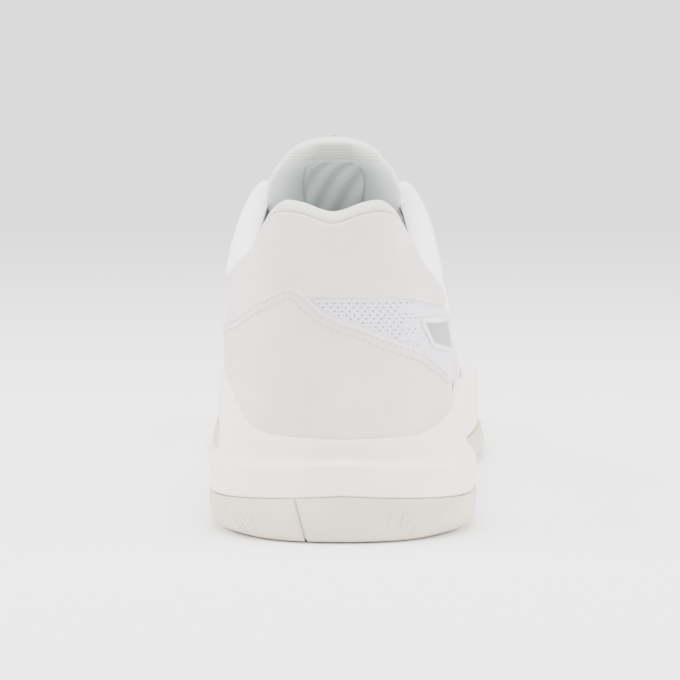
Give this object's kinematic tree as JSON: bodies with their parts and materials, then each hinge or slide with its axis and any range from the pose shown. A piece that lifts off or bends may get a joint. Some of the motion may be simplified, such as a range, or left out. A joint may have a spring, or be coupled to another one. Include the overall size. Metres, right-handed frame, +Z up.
{
  "type": "court shoe",
  "caption": "Low-cut lace-up shoe for racket sports, right foot, with padded collar, foam midsole, rubber outsole, bending forefoot and folding tongue tip.",
  "frame": {"origin": "centre of the ground contact, under the middle of the shoe's length and width", "axes": "+Y towards the toe, +X towards the little-toe side of a right shoe, +Z up"},
  "size_m": [0.1052, 0.2997, 0.1215],
  "materials": {
    "outsole_rubber": "matt moulded non-marking rubber",
    "toe_rubber": "matt moulded rubber film",
    "midsole_foam": "matt moulded closed-cell foam",
    "cushion_gel": "soft cushion insert",
    "moulded_plate": "moulded plastic shank",
    "lasting_board": "stitched fibre board",
    "sockliner_cloth": "knit-faced foam",
    "upper_mesh": "engineered mesh with a dotted open weave",
    "smooth_panel": "smooth synthetic leather, stitched",
    "window_surround": "welded raised film",
    "silver_film": "satin silver film",
    "stiffener": "thermoformed stiffener",
    "padding_foam": "soft open-cell foam",
    "lining_cloth": "brushed knit lining",
    "collar_knit": "fine knit, padded roll",
    "tongue_mesh": "padded air mesh",
    "lace_cord": "flat woven cord",
    "aglet_plastic": "clear-wrapped lace tip"
  },
  "bodies": {
    "rear_shoe": {"outsole_heel_lateral": "outsole_rubber", "outsole_heel_medial": "outsole_rubber", "outsole_ball": "outsole_rubber", "midsole_rear": "midsole_foam", "heel_cushion_insert": "cushion_gel", "ball_cushion_insert": "cushion_gel", "midfoot_shank": "moulded_plate", "lasting_board_rear": "lasting_board", "sockliner_rear": "sockliner_cloth", "upper_shell": "upper_mesh", "vamp_flex_panel": "upper_mesh", "rear_panel": "smooth_panel", "heel_overlay": "smooth_panel", "side_overlay_lateral": "smooth_panel", "side_overlay_medial": "smooth_panel", "eyestay_lateral": "smooth_panel", "eyestay_medial": "smooth_panel", "window_frame": "window_surround", "window_inlay": "silver_film", "heel_counter": "stiffener", "collar_padding": "padding_foam", "collar_lining": "lining_cloth", "collar_rim": "collar_knit", "tongue_base": "tongue_mesh", "lace": "lace_cord", "aglet_start": "aglet_plastic", "aglet_end": "aglet_plastic"},
    "forefoot": {"outsole_toe": "outsole_rubber", "midsole_forefoot": "midsole_foam", "lasting_board_front": "lasting_board", "sockliner_front": "sockliner_cloth", "toe_box": "upper_mesh", "toe_guard": "toe_rubber", "toe_puff": "stiffener"},
    "tongue_tip": {"tongue_top": "tongue_mesh"}
  },
  "joints": [
    {"name": "forefoot_bend", "type": "hinge", "parent": "rear_shoe", "child": "forefoot", "pos_m": [0, 0.063, 0.025], "axis": [1, 0, 0], "range_deg": [0, 25], "stiffness_Nm_per_rad": 1.2, "deforming": ["vamp_flex_panel"]},
    {"name": "tongue_fold", "type": "hinge", "parent": "rear_shoe", "child": "tongue_tip", "pos_m": [-0.0025, -0.0315, 0.1055], "axis": [1, 0, 0], "range_deg": [-25, 12], "stiffness_Nm_per_rad": 0.15}
  ]
}
